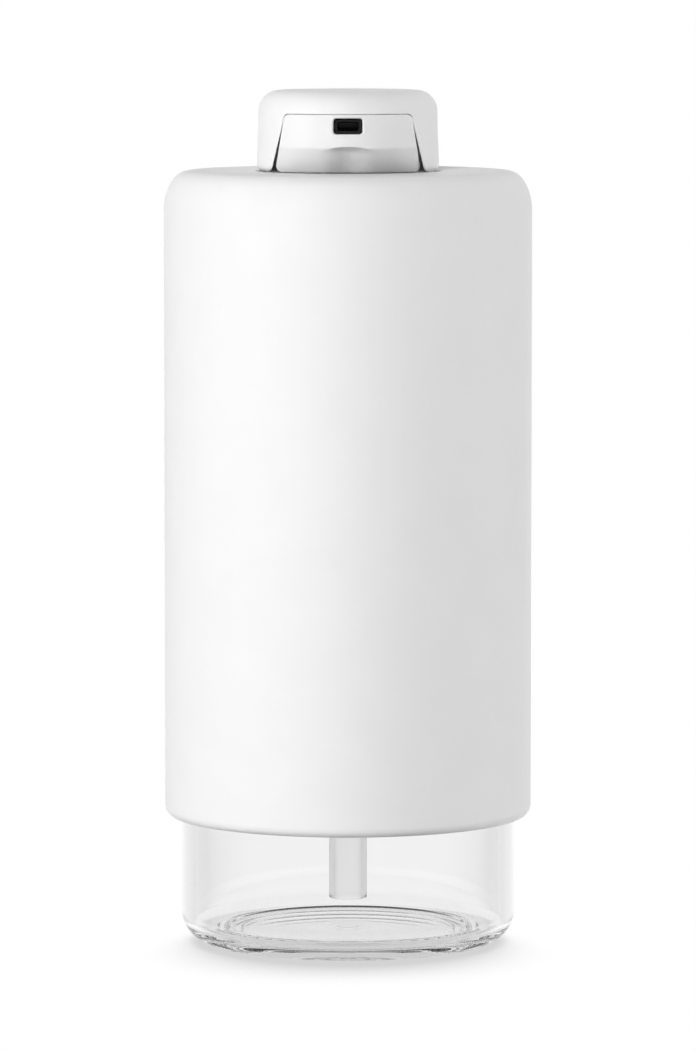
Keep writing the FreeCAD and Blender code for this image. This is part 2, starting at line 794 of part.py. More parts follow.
def check_and_write(pieces):
    """Stop on any failed object or bad solid, then write one file for each piece."""
    doc.recompute()
    failed = [item.Name for item in doc.Objects if {"Invalid", "Error"} & set(item.State)]
    for piece in pieces:
        shape = piece.Shape
        if shape.isNull() or not shape.isValid() or len(shape.Solids) != 1:
            failed.append(piece.Label)
    if failed:
        raise RuntimeError("failed: " + ", ".join(failed))
    os.makedirs("parts", exist_ok=True)
    for piece in pieces:
        piece.Shape.exportStep(f"parts/{piece.Label}.step")


fill_sheet()
check_and_write([
    make_bottle(),
    make_sleeve(),
    make_sleeve_liner(),
    make_screw_cap(),
    make_neck_gasket(),
    make_pump_housing(),
    make_chaplet(),
    make_dip_tube(),
    make_spring_seat(),
    make_inlet_ball(),
    make_return_spring(),
    make_piston(),
    make_stem(),
    make_stem_valve(),
    make_hood(),
    make_actuator(),
    make_spout(),
    make_nozzle(),
])
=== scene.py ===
"""Looks of a pump dispenser: clear bottle in a coated sleeve, with a press head and a front outlet.

Lengths are millimetres until a mesh is made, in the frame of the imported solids: +Z up, the spout
towards -Y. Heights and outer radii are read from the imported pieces, and only walls, roundings and
details are written here.
"""

import math

import bpy
import numpy as np
from mathutils import Euler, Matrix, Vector


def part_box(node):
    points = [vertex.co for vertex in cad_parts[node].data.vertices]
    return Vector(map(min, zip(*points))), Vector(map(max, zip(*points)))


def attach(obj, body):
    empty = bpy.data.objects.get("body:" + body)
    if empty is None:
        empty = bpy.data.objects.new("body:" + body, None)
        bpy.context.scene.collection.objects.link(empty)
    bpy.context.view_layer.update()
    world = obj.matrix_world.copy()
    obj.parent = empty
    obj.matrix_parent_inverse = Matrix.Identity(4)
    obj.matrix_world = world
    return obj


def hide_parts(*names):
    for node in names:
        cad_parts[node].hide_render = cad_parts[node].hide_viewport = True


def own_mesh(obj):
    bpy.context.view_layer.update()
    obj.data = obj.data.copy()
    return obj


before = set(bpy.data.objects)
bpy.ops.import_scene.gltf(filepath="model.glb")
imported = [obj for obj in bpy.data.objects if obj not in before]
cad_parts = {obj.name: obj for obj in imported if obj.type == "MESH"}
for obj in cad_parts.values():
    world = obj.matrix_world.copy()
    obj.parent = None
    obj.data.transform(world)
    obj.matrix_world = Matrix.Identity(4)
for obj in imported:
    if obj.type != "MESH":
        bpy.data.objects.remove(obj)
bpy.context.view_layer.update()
MM = 0.001
scene = bpy.context.scene


def span(node):
    """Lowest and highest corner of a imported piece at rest, in millimetres."""
    low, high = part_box(node)
    return np.array(low) / MM, np.array(high) / MM


# Lines and grids of points


def rounded(corners, degrees=6.0):
    """Line through corners (a, b, radius), as an (n, 2) array.

    A corner of radius 0 stays a point. Any other becomes the arc that touches both of its sides:
    it starts radius * tan(turn / 2) before the corner, and its points lie evenly in angle.
    """
    points = np.array([corner[:2] for corner in corners], float)
    line = [points[:1]]
    for before, here, after, radius in zip(points, points[1:], points[2:], [c[2] for c in corners[1:]]):
        enter = (here - before) / np.linalg.norm(here - before)
        leave = (after - here) / np.linalg.norm(after - here)
        turn = math.atan2(enter[0] * leave[1] - enter[1] * leave[0], enter @ leave)
        if radius == 0 or turn == 0:
            line.append(here[None])
            continue
        side = math.copysign(1, turn)
        start = here - enter * radius * math.tan(abs(turn) / 2)
        centre = start + side * radius * np.array([-enter[1], enter[0]])
        steps = max(3, math.ceil(abs(math.degrees(turn)) / degrees))
        angle = np.linspace(0, turn, steps + 1)[:, None]
        out = start - centre
        across = np.array([-out[1], out[0]])
        line.append(centre + np.cos(angle) * out + np.sin(angle) * across)
    line.append(points[-1:])
    return np.concatenate(line)


def arc(centre, radius, start, end, steps):
    """Points of an arc about centre, from the start angle to the end angle in degrees."""
    angle = np.radians(np.linspace(start, end, steps + 1))
    return np.stack([centre[0] + radius * np.cos(angle), centre[1] + radius * np.sin(angle)], -1)


def turned(profile, around):
    """Grid of a profile (r, z) carried once round the axis: (r cos, r sin, z)."""
    angle = np.linspace(0, 2 * np.pi, around, endpoint=False)[:, None]
    radius, height = profile[:, 0], np.broadcast_to(profile[:, 1], (around, len(profile)))
    return np.stack([radius * np.cos(angle), radius * np.sin(angle), height], -1)


def edge_drop(distance, radius):
    """How far a rounded edge has fallen away at a distance from the edge: a quarter circle."""
    inside = radius - np.clip(distance, 0, radius)
    return radius - np.sqrt(radius**2 - inside**2)


def ease(value, low, high):
    """Smooth step from 0 at low to 1 at high: 3t^2 - 2t^3."""
    t = np.clip((value - low) / (high - low), 0, 1)
    return t * t * (3 - 2 * t)


def piece(name, grid, node, body, finish, poles=False, crease=38):
    """Mesh of a grid in millimetres, closed round its first parameter.

    Round its second it is closed too, or with poles its first and last column each shrink to one
    point. The faces are turned so that the enclosed volume is positive.
    """
    rows, columns = grid.shape[:2]
    index = np.arange(rows * columns).reshape(rows, columns)
    if poles:
        index[:, 0] = index[0, 0]
        index[:, -1] = index[0, -1]
    beside = np.roll(index, -1, 0)
    near = np.stack([index, beside], -1)
    far = np.roll(near, -1, 1)[..., ::-1]
    quads = np.concatenate([near, far], -1)
    if poles:
        first = quads[:, 0, 1:]
        last = quads[:, -2, :3]
        quads = quads[:, 1:-2]
        triangles = np.concatenate([first, last])
    else:
        triangles = np.empty((0, 3), int)
    quads = quads.reshape(-1, 4)
    used, renumbered = np.unique(np.concatenate([quads.ravel(), triangles.ravel()]), return_inverse=True)
    quads = renumbered[: quads.size].reshape(-1, 4)
    triangles = renumbered[len(renumbered) - triangles.size:].reshape(-1, 3)
    points = grid.reshape(-1, 3)[used] * MM
    halves = np.concatenate([quads[:, [0, 1, 2]], quads[:, [0, 2, 3]], triangles])
    a, b, c = (points[halves[:, corner]] for corner in range(3))
    if np.einsum("ij,ij->", a, np.cross(b, c)) < 0:
        quads, triangles = quads[:, ::-1], triangles[:, ::-1]
    mesh = bpy.data.meshes.new(name)
    mesh.from_pydata(points.tolist(), [], quads.tolist() + triangles.tolist())
    mesh.shade_smooth()
    mesh.set_sharp_from_angle(angle=math.radians(crease))
    mesh.materials.append(finish)
    made = bpy.data.objects.new(name, mesh)
    scene.collection.objects.link(made)
    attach(made, body)
    if node:
        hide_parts(node)
    return made


# Materials


def linear(code, alpha=1.0):
    """Linear colour of an sRGB hex code."""
    value = np.array([int(code[at:at + 2], 16) for at in (1, 3, 5)]) / 255
    value = np.where(value <= 0.04045, value / 12.92, ((value + 0.055) / 1.055) ** 2.4)
    return (*value.tolist(), alpha)


def add(tree, kind, inputs=None, **settings):
    """Add a node, set its properties, and set or link its inputs."""
    node = tree.nodes.new(kind)
    for name, value in settings.items():
        setattr(node, name, value)
    for name, value in (inputs or {}).items():
        if isinstance(value, bpy.types.NodeSocket):
            tree.links.new(value, node.inputs[name])
        else:
            node.inputs[name].default_value = value
    return node


def maths(tree, operation, first, second):
    """Result of a maths node on two values."""
    return add(tree, "ShaderNodeMath", {0: first, 1: second}, operation=operation).outputs[0]


def ramp(tree, value, given, wanted):
    """Value carried from a given range to a wanted one, and held at its ends."""
    return add(tree, "ShaderNodeMapRange", {
        "Value": value, "From Min": given[0], "From Max": given[1],
        "To Min": wanted[0], "To Max": wanted[1]}).outputs[0]


def tint(tree, share, pale, deep):
    """Colour that goes from pale to deep with a share."""
    # a mix node's colour sockets have the names of its other sockets, so they are numbered
    mix = add(tree, "ShaderNodeMix", {0: share, 6: linear(pale), 7: linear(deep)}, data_type="RGBA")
    return mix.outputs[2]


def per(size):
    """Pattern scale, in repeats per metre, of a detail of so many millimetres."""
    return 1 / (size * MM)


def surface(name, **sockets):
    """New material with one principled shader. Returns the material, its tree and the shader."""
    material = bpy.data.materials.new(name)
    material.use_nodes = True
    tree = material.node_tree
    tree.nodes.clear()
    inputs = {key.replace("_", " "): value for key, value in sockets.items()}
    shader = add(tree, "ShaderNodeBsdfPrincipled", inputs)
    add(tree, "ShaderNodeOutputMaterial", {"Surface": shader.outputs[0]})
    return material, tree, shader


def grained(name, pale, deep, roughness, grain, relief, cloud):
    """White finish with a fine grain.

    Noise of the grain's size makes the relief, the same noise lifts the roughness a little on the
    crests, and a slow cloud moves the colour between pale and deep.
    """
    material, tree, shader = surface(name)
    place = add(tree, "ShaderNodeTexCoord").outputs["Object"]
    grit = add(tree, "ShaderNodeTexNoise", {
        "Vector": place, "Scale": per(grain), "Detail": 3.0, "Roughness": 0.6})
    slow = add(tree, "ShaderNodeTexNoise", {"Vector": place, "Scale": per(cloud), "Detail": 2.0})
    colour = tint(tree, slow.outputs[0], pale, deep)
    polish = ramp(
        tree, grit.outputs[0], (0.3, 0.7), (roughness - ROUGHNESS_SPREAD, roughness + ROUGHNESS_SPREAD))
    bump = add(tree, "ShaderNodeBump", {"Height": grit.outputs[0], "Strength": 1.0, "Distance": relief * MM})
    for socket, source in (("Base Color", colour), ("Roughness", polish), ("Normal", bump.outputs[0])):
        tree.links.new(source, shader.inputs[socket])
    return material


ROUGHNESS_SPREAD = 0.05


# Steel sheet, powder coated white: matt, with a mineral grain of about 0.4 mm that is felt more
# than seen. Drawn at 0.6 mm so that a trace of it shows.
powder_coat = grained("powder_coated_steel", "#EFEFEF", "#EBEBEB", 0.46, 0.6, 0.004, 9.0)

# ABS moulded in a spark-eroded tool: the same white with a finer, even grain.
eroded_abs = grained("spark_eroded_ABS", "#EFEFEF", "#ECECEC", 0.42, 0.45, 0.003, 6.0)

# ABS moulded in a polished tool: smooth satin with a soft highlight and only a trace of texture.
satin_abs = grained("polished_tool_ABS", "#ECECEC", "#EAEAEA", 0.32, 0.4, 0.001, 8.0)

# Polypropylene, moulded white and left as it came from the tool: slightly waxy.
white_pp = grained("moulded_white_polypropylene", "#E9E9E7", "#E2E2E0", 0.42, 0.8, 0.004, 7.0)

# Polypropylene without pigment: greyer and a little cloudy, seen as a solid at this thickness.
natural_pp = grained("moulded_natural_polypropylene", "#E1E1DC", "#D4D4CE", 0.38, 1.0, 0.004, 5.0)

# Silicone, moulded: soft and matt.
silicone = grained("moulded_silicone", "#DADAD8", "#D2D2D0", 0.62, 0.5, 0.003, 6.0)

# Acetal, moulded black: a dark tip with a dull gloss.
black_acetal = grained("moulded_black_acetal", "#070708", "#0E0E10", 0.5, 0.5, 0.004, 3.0)


def blown_glass():
    """Clear glass, blown and fire polished: sharp, with a slow waviness of the wall."""
    material, tree, shader = surface(
        "blown_clear_glass", Base_Color=linear("#FBFBFB"), Roughness=0.0, IOR=1.5, Transmission_Weight=1.0)
    place = add(tree, "ShaderNodeTexCoord").outputs["Object"]
    wave = add(tree, "ShaderNodeTexNoise", {"Vector": place, "Scale": per(14.0), "Detail": 1.0})
    bump = add(tree, "ShaderNodeBump", {"Height": wave.outputs[0], "Strength": 1.0, "Distance": 0.02 * MM})
    tree.links.new(bump.outputs[0], shader.inputs["Normal"])
    return material


def milky_polyethylene():
    """Polyethylene, extruded as a thin tube: milky, with faint draw lines along its length.

    The refractive index, really 1.51, is drawn much lower: at 1.51 this shader darkens the tube's
    sides, where the milky plastic scatters light.
    """
    material, tree, shader = surface(
        "extruded_polyethylene", Roughness=0.29, IOR=1.12, Transmission_Weight=0.97)
    place = add(tree, "ShaderNodeTexCoord").outputs["Object"]
    # lines 0.25 mm apart round the tube, drawn out 60 times along it
    drawn = add(tree, "ShaderNodeMapping", {"Vector": place, "Scale": (1.0, 1.0, 1 / 60)})
    lines = add(tree, "ShaderNodeTexNoise", {"Vector": drawn.outputs[0], "Scale": per(0.25), "Detail": 2.0})
    colour = tint(tree, lines.outputs[0], "#FDFDFD", "#FAFAFA")
    bump = add(tree, "ShaderNodeBump", {"Height": lines.outputs[0], "Strength": 1.0, "Distance": 0.002 * MM})
    tree.links.new(colour, shader.inputs["Base Color"])
    tree.links.new(bump.outputs[0], shader.inputs["Normal"])
    return material


def bright_stainless():
    """Stainless steel, cold drawn: bright, with fine die lines that vary the gloss."""
    material, tree, shader = surface("drawn_stainless_steel", Base_Color=linear("#C9C9CB"), Metallic=1.0)
    place = add(tree, "ShaderNodeTexCoord").outputs["Object"]
    lines = add(tree, "ShaderNodeTexNoise", {"Vector": place, "Scale": per(0.3), "Detail": 2.0})
    tree.links.new(ramp(tree, lines.outputs[0], (0.0, 1.0), (0.16, 0.34)), shader.inputs["Roughness"])
    return material


clear_glass = blown_glass()
milky_pe = milky_polyethylene()
stainless = bright_stainless()


# Clear bottle


def bottle_grid():
    """The bottle's wall turned round the axis, with one thread standing on its neck.

    The outline runs from the middle of the push-up out over the standing ring and heel, up the
    wall, over shoulder and neck, and back down the inside, to two rings on the floor, each a
    squared sine high. The thread is a height on the neck: a ridge once per pitch along
    z - pitch * angle / turn, faded at both ends.
    """
    radius, mouth = bottle_high[0], bottle_high[2]
    inner = radius - BOTTLE_WALL
    rest = radius - HEEL
    step = rest - REST_WIDTH
    ring = step - PUSH_UP - RING_WIDTH
    root = NECK - THREAD_DEPTH
    neck_heights = np.arange(BODY + NECK_FILLET + 0.2, mouth - LIP, NECK_STEP)
    pip = PUSH_UP + PIP_RISE
    floor = PUSH_UP + RING_STEP
    outside = rounded([
        (0, pip, 0), (PIP, pip, SOFT), (PIP_FOOT, floor, SOFT),
        (ring - RING_STEP, floor, SOFT), (ring, PUSH_UP, SOFT),
        (step - PUSH_UP, PUSH_UP, SOFT), (step, 0, SOFT), (radius, 0, HEEL), (radius, BODY, SHOULDER),
        (root, BODY, NECK_FILLET), (root, neck_heights[0], 0)])
    neck = np.stack([np.full_like(neck_heights, root), neck_heights], -1)[1:]
    inside = rounded([
        (root, mouth - LIP, 0), (root, mouth, LIP), (NECK_BORE, mouth, LIP),
        (NECK_BORE, BODY - BOTTLE_WALL, BORE_ROUND), (inner, BODY - BOTTLE_WALL, SHOULDER - BOTTLE_WALL),
        (inner, BASE, FLOOR_ROUND), (inner - FLOOR_ROUND, BASE, 0)])
    inward = np.linspace(0, 2 * RIPPLE_WIDTH, RIPPLE_POINTS)
    rings = np.stack([
        inner - FLOOR_ROUND - FLOOR_EDGE - inward,
        BASE + RIPPLE * np.sin(np.pi * inward / RIPPLE_WIDTH) ** 2], -1)
    grid = turned(np.concatenate([outside, neck, inside[:-1], rings, [(0, BASE)]]), around=368)
    place = slice(len(outside), len(outside) + len(neck))
    x, y, z = np.moveaxis(grid[:, place], -1, 0)
    turn = np.arctan2(y, x) / (2 * np.pi)
    low, high = BODY + THREAD_START, mouth - THREAD_END
    phase = (z - low) / THREAD_PITCH - turn
    ridge = ease(0.5 - np.abs(phase % 1 - 0.5), *THREAD_FLANK)
    count = np.floor(phase) + turn
    turns = (high - low) / THREAD_PITCH - 1
    fade = ease(count, 0.0, THREAD_FADE) * (1 - ease(count, turns - THREAD_FADE, turns))
    lift = THREAD_DEPTH * ridge * fade
    grid[:, place, :2] *= (1 + lift / root)[..., None]
    return grid


bottle_high = span("bottle")[1]
BOTTLE_WALL = 2.4
HEEL = 6.0
REST_WIDTH = 1.6
RING_WIDTH = 3.3
RING_STEP = 0.3
PUSH_UP = 0.6
# the pip in the middle of the push-up, and the rounding of all small edges under the base
PIP = 1.6
PIP_FOOT = 2.1
PIP_RISE = 0.1
SOFT = 0.3
BASE = 3.0
FLOOR_ROUND = 2.2
FLOOR_EDGE = 2.0
RIPPLE = 0.28
RIPPLE_WIDTH = 1.8
RIPPLE_POINTS = 33
BODY = 121.6
SHOULDER = 10.0
NECK = 19.0
NECK_BORE = 16.5
NECK_FILLET = 1.0
NECK_STEP = 0.25
BORE_ROUND = 0.8
LIP = 0.7
THREAD_DEPTH = 0.8
THREAD_PITCH = 4.0
THREAD_START = 3.0
THREAD_END = 1.6
# where the ridge starts to rise and where it is at its height, in parts of a pitch
THREAD_FLANK = (0.22, 0.40)
# length of each faded end, in turns
THREAD_FADE = 0.12
piece("clear_bottle", bottle_grid(), "bottle", "bottle", clear_glass, poles=True)


# Coated sleeve


def sleeve_profile():
    """Sheet outline: hem turned in, wall, a shoulder of a large and a small arc, flat top, mouth.

    The arcs touch, because their centres lie as far apart as their radii differ.
    """
    foot, top, radius = sleeve_low[2] + HEM_LIFT, sleeve_high[2], sleeve_high[0]
    flat = radius - SHOULDER_WIDTH
    spread, reach = SHOULDER_SWEEP - SHOULDER_WIDTH, SHOULDER_SWEEP - SHOULDER_NOSE
    drop = math.sqrt(reach**2 - spread**2)
    tilt = math.degrees(math.atan2(drop, spread))
    nose = (flat, top - SHOULDER_NOSE)
    sweep = (flat - spread, nose[1] - drop)
    hem_edge = bottle_high[0] + HEM_CLEARANCE
    hem = rounded([
        (hem_edge, foot + SHEET, 0), (hem_edge, foot, HEM_EDGE),
        (radius, foot, HEM), (radius, foot + 2 * HEM, 0)])
    inner_hem = rounded([
        (radius - SHEET, foot + 2 * HEM, 0), (radius - SHEET, foot + SHEET, HEM - SHEET),
        (hem_edge, foot + SHEET, 0)])
    return np.concatenate([
        hem,
        arc(sweep, SHOULDER_SWEEP, 0, tilt, 16),
        arc(nose, SHOULDER_NOSE, tilt, 90, 10)[1:],
        rounded([
            (flat, top, 0), (sleeve_mouth, top, MOUTH_EDGE),
            (sleeve_mouth, top - SHEET, 0), (flat, top - SHEET, 0)])[1:],
        arc(nose, SHOULDER_NOSE - SHEET, 90, tilt, 10)[1:],
        arc(sweep, SHOULDER_SWEEP - SHEET, tilt, 0, 16)[1:],
        inner_hem[:-1],
    ])


sleeve_low, sleeve_high = span("sleeve")
SHEET = 0.8
HEM = 2.0
HEM_EDGE = 0.25
HEM_CLEARANCE = 0.3
# the hem is drawn a little higher than the solid's, where the photograph has it
HEM_LIFT = 0.35
MOUTH_EDGE = 0.3
SHOULDER_WIDTH = 5.0
SHOULDER_NOSE = 4.0
SHOULDER_SWEEP = 11.0
WELL_CLEARANCE = 0.25
hood_low, hood_high = span("hood")
sleeve_mouth = hood_high[0] + WELL_CLEARANCE
piece("coated_sleeve", turned(sleeve_profile(), around=320), "sleeve", "cap", powder_coat)


# Press head: hood


def hood_radius_at(height):
    """Radius of the head's drafted side at a height."""
    low, high = hood_low[2] + RIM, hood_high[2] - CROWN
    return hood_high[0] - DRAFT * (height - low) / (high - low)


def opening_half(height):
    """Half width of the hood's front opening at a height: a straight taper from sleeve to seam."""
    return OPENING_FOOT + (OPENING_TOP - OPENING_FOOT) * (height - sleeve_high[2]) / (SEAM - sleeve_high[2])


def outside_opening(x, z, y):
    """Distance from the front opening's edge, positive outside it: beyond the seam or beyond a side."""
    side = (np.abs(x) - opening_half(z) - edge_drop(z - HOOD_FOOT, TOE)) * OPENING_SLOPE
    above = z - SEAM
    corner = np.hypot(np.maximum(side + CORNER, 0), np.maximum(above + CORNER, 0)) - CORNER
    apart = np.where((side > -CORNER) & (above > -CORNER), corner, np.maximum(side, above))
    return np.where(y < 0, apart, np.inf)


def column_of(profile, azimuth, columns):
    """For each azimuth, the part of a profile above the opening, cut into so many steps.

    Along a profile, the last point inside the opening is looked up on a fine grid. The steps from
    there to the profile's end grow with the power 1.7, so that they are finest at the edge.
    """
    length = np.concatenate([[0], np.cumsum(np.hypot(*np.diff(profile, axis=0).T))])
    fine = np.linspace(0, length[-1], 3000)
    r, z = np.interp(fine, length, profile[:, 0]), np.interp(fine, length, profile[:, 1])
    x, y = np.sin(azimuth)[:, None] * r, -np.cos(azimuth)[:, None] * r
    inside = outside_opening(x, z[None], y) < 0
    last = np.where(inside.any(1), len(fine) - 1 - inside[:, ::-1].argmax(1), 0)
    start = fine[last][:, None]
    place = start + (length[-1] - start) * np.linspace(0, 1, columns) ** 1.7
    return np.interp(place, length, profile[:, 0]), np.interp(place, length, profile[:, 1])


def hood_grid():
    """Press cap: an outer and an inner profile at each azimuth, joined round the rim and the opening.

    Columns of points run from the top's middle down the outside, round the edge and up the inside
    to the roof's middle. At the opening the inside starts where a straight cut towards -Y meets it.
    """
    foot, top, radius = HOOD_FOOT, hood_high[2], hood_high[0]
    upper = hood_radius_at(top - CROWN)
    inner = upper - HOOD_WALL
    outer_profile = np.concatenate([
        arc((radius - RIM, foot + RIM), RIM, -90, 0, 14),
        arc((upper - CROWN, top - CROWN), CROWN, 0, 90, 22)])
    inner_profile = np.concatenate([
        [(radius - RIM, foot + RIM_LAND), (radius - HOOD_WALL, foot + RIM)],
        arc((upper - CROWN, top - CROWN), CROWN - HOOD_WALL, 0, 90, 8) - (0, HOOD_ROOF - HOOD_WALL)])
    corner = math.asin(OPENING_TOP / radius)
    toe = math.asin(min(1, OPENING_FOOT / (radius - TOE_DEPTH))) + TOE_MARGIN
    # azimuths lie closest together along the opening's sides
    half = np.concatenate([
        np.linspace(0, corner - CORNER_MARGIN, 70, endpoint=False),
        np.linspace(corner - CORNER_MARGIN, toe, 110, endpoint=False),
        np.linspace(toe, np.pi, 130)])
    azimuth = np.concatenate([half, -half[-2:0:-1]])
    size = np.abs(azimuth)
    cut = np.arcsin(np.clip(np.sin(np.minimum(size, corner)) * radius / inner, -1, 1))
    toe_in = toe + TOE_INSET
    within = np.where(size <= corner, cut, np.interp(size, [corner, toe, np.pi], [cut.max(), toe_in, np.pi]))
    within = np.copysign(within, azimuth)
    r_out, z_out = column_of(outer_profile, azimuth, 60)
    r_in, z_in = column_of(inner_profile, within, 18)
    x, y = np.sin(azimuth)[:, None] * r_out, -np.cos(azimuth)[:, None] * r_out
    r_out = r_out - edge_drop(outside_opening(x, z_out, y), EDGE)
    crown = np.linspace(0, 1, 9)[:-1]
    roof = np.linspace(1, 0, 6)[1:]
    rim = r_out[:, -1:]
    radial = np.concatenate([crown * rim, r_out[:, ::-1], r_in, roof * r_in[:, -1:]], 1)
    height = np.concatenate([
        np.repeat(z_out[:, -1:], len(crown), 1), z_out[:, ::-1],
        z_in, np.repeat(z_in[:, -1:], len(roof), 1)], 1)
    turn = np.concatenate([
        np.repeat(azimuth[:, None], len(crown) + z_out.shape[1], 1),
        np.repeat(within[:, None], z_in.shape[1] + len(roof), 1)], 1)
    return np.stack([radial * np.sin(turn), -radial * np.cos(turn), height], -1)


# drawn a little into the well, which closes the gap seen from in front
HOOD_SINK = 0.45
HOOD_FOOT = hood_low[2] - HOOD_SINK
RIM = 1.6
RIM_LAND = 1.2
CROWN = 4.0
DRAFT = 0.33
HOOD_WALL = 1.8
HOOD_ROOF = 2.0
EDGE = 0.25
CORNER = 0.7
TOE = 1.0
# margins of the dense azimuths, in radians, and how far in the toe's radius is taken
CORNER_MARGIN = 0.06
TOE_MARGIN = 0.03
TOE_INSET = 0.02
TOE_DEPTH = 0.5
OPENING_TOP = 12.2
OPENING_FOOT = 14.9
SEAM = hood_high[2] - 4.3
OPENING_SLOPE = math.cos(math.atan2(OPENING_FOOT - OPENING_TOP, SEAM - sleeve_high[2]))
piece("press_hood", hood_grid(), "hood", "head", eroded_abs, poles=True)


# Press head: spout and nozzle


def spout_radius_at(height, x):
    """Radius of the insert's face: flush with the hood above the lip, slanted back below it.

    The bend at the lip is a hyperbola, (b + sqrt(b^2 + bend^2)) / 2 at a distance b below the lip.
    The slant is steepest in the middle and fades to the sides as (1 - (x / half)^2)^fade.
    """
    below = LIP_HEIGHT - height
    slant = UNDERCUT * (1 - (x / UNDERCUT_HALF) ** 2) ** UNDERCUT_FADE / (LIP_HEIGHT - spout_low[2])
    return hood_radius_at(np.maximum(height, LIP_HEIGHT)) - slant * (below + np.hypot(below, LIP_BEND)) / 2


def spout_half(height):
    """Half width of the insert: the opening less a gap that widens from the seam to the foot."""
    return opening_half(height) - np.interp(height, [spout_low[2], SEAM], [FOOT_GAP, SEAM_GAP])


def box_distance(x, z, half_width, half_height, radius):
    """Signed distance from a rounded rectangle about the outlet, positive outside."""
    across = np.abs(x) - half_width + radius
    along = np.abs(z) - half_height + radius
    beyond = np.hypot(np.maximum(across, 0), np.maximum(along, 0))
    return beyond + np.minimum(np.maximum(across, along), 0) - radius


def ray_length(line, angle):
    """Distance from the origin to a closed line in each direction, for a line that no ray meets twice."""
    directions = np.arctan2(line[:, 1], line[:, 0])
    return np.interp(angle, directions, np.hypot(line[:, 0], line[:, 1]), period=2 * np.pi)


def dense(corners, spacing=0.05):
    """Closed line through rounded corners, with its straight sides cut into short steps."""
    line = rounded([corners[-1], *corners, corners[0]], 4.0)[1:-1]
    line = np.concatenate([line, line[:1]])
    length = np.concatenate([[0], np.cumsum(np.hypot(*np.diff(line, axis=0).T))])
    even = np.arange(0, length[-1], spacing)
    return np.stack([np.interp(even, length, line[:, 0]), np.interp(even, length, line[:, 1])], -1)


def rectangle(half_width, half_height, radius):
    """Closed line of a rectangle about the origin, with rounded corners."""
    return dense([
        (-half_width, -half_height, radius), (half_width, -half_height, radius),
        (half_width, half_height, radius), (-half_width, half_height, radius)])


def spout_grid():
    """Front insert, a closed sheet round its window.

    Rays from the outlet's middle cut the window's outline and the insert's outline. The face lies
    between the two cuts, on the head's radius. Its edges are quarter circles, and the scoop is a
    cove under the lip: it deepens by the cube from its crown in to a floor along the slant, and a
    bell curve across it gives it soft sides.
    """
    angle = np.linspace(-np.pi, np.pi, 640, endpoint=False)
    foot = SPOUT_FOOT - OUTLET
    top = SEAM - SEAM_GAP - OUTLET
    foot_half, top_half = spout_half(OUTLET + foot), spout_half(OUTLET + top)
    trapezoid = dense([
        (-foot_half, foot, FOOT_ROUND), (foot_half, foot, FOOT_ROUND),
        (top_half, top, TOP_ROUND), (-top_half, top, TOP_ROUND)])
    window = rectangle(*WINDOW, WINDOW_ROUND)
    near, far = ray_length(window, angle)[:, None], ray_length(trapezoid, angle)[:, None]
    step = np.linspace(0, 1, 100)
    reach = near + (far - near) * step
    x, z = np.cos(angle)[:, None] * reach, np.sin(angle)[:, None] * reach
    height = OUTLET + z
    y = -np.sqrt(spout_radius_at(height, x) ** 2 - x**2)
    rim = np.minimum.reduce([
        (spout_half(height) - np.abs(x)) * OPENING_SLOPE, top - z, z - foot])
    y += edge_drop(rim, EDGE) + edge_drop(box_distance(x, z, *WINDOW, WINDOW_ROUND), WINDOW_EDGE)
    crown = LIP_HEIGHT + SCOOP_RISE * (1 - (x / SCOOP_HALF) ** 2)
    to_go = 1 - np.clip((crown - height) / COVE, 0, 1)
    y += SCOOP_DEPTH * (1 - to_go**3) * np.exp(-((x / SCOOP_HALF) ** 2))
    face = np.stack([x, y, height], -1)
    back = face[:, [-1, 0]].copy()
    back[..., 1] += SPOUT_WALL
    return np.concatenate([face, back], 1)


def nozzle_grid():
    """Outlet tip: a rounded rectangular block carried from back to front, with a blind slot in its face.

    Each section is an inset in width and height and a share of the length. The first and the last
    shrink to a point, the middle of the back and of the slot's floor.
    """
    angle = np.linspace(-np.pi, np.pi, 96, endpoint=False)
    half_width, half_height = (nozzle_high[0] - nozzle_low[0]) / 2, (nozzle_high[2] - nozzle_low[2]) / 2
    sections = [
        (half_width, half_height, 0), (0, 0, 0), (0, 0, 0.93), (0.12, 0.12, 1), (0.55, 0.45, 1),
        (0.75, 0.7, 0.8), (0.75, 0.7, 0.1), (half_width, half_height, 0.1)]
    rings = []
    for inset_x, inset_z, forward in sections:
        width, high = half_width - inset_x, half_height - inset_z
        reach = np.zeros_like(angle)
        if width > 0:
            reach = ray_length(rectangle(width, high, TIP_ROUND), angle)
        y = nozzle_high[1] + (nozzle_low[1] - nozzle_high[1]) * forward
        rings.append(np.stack([
            np.cos(angle) * reach, np.full_like(angle, y), OUTLET + np.sin(angle) * reach], -1))
    return np.stack(rings, 1)


spout_low = span("spout")[0]
nozzle_low, nozzle_high = span("nozzle")
OUTLET = (nozzle_low[2] + nozzle_high[2]) / 2
SEAM_GAP = 0.07
FOOT_GAP = 0.95
LIP_HEIGHT = SEAM - 6.4
LIP_BEND = 0.3
# drawn into the well like the hood, but a little less far
SPOUT_FOOT = HOOD_FOOT + 0.25
FOOT_ROUND = 1.3
TOP_ROUND = 1.2
UNDERCUT = 3.0
UNDERCUT_HALF = 15.0
UNDERCUT_FADE = 0.6
SPOUT_WALL = 2.4
WINDOW = (2.75, 1.5)
WINDOW_ROUND = 0.6
WINDOW_EDGE = 0.4
SCOOP_HALF = 3.2
SCOOP_RISE = 0.3
SCOOP_DEPTH = 1.1
COVE = 1.6
TIP_ROUND = 0.4
piece("front_spout", spout_grid(), "spout", "head", satin_abs)
piece("outlet_nozzle", nozzle_grid(), "nozzle", "head", black_acetal, poles=True)


# Dip tube and return spring


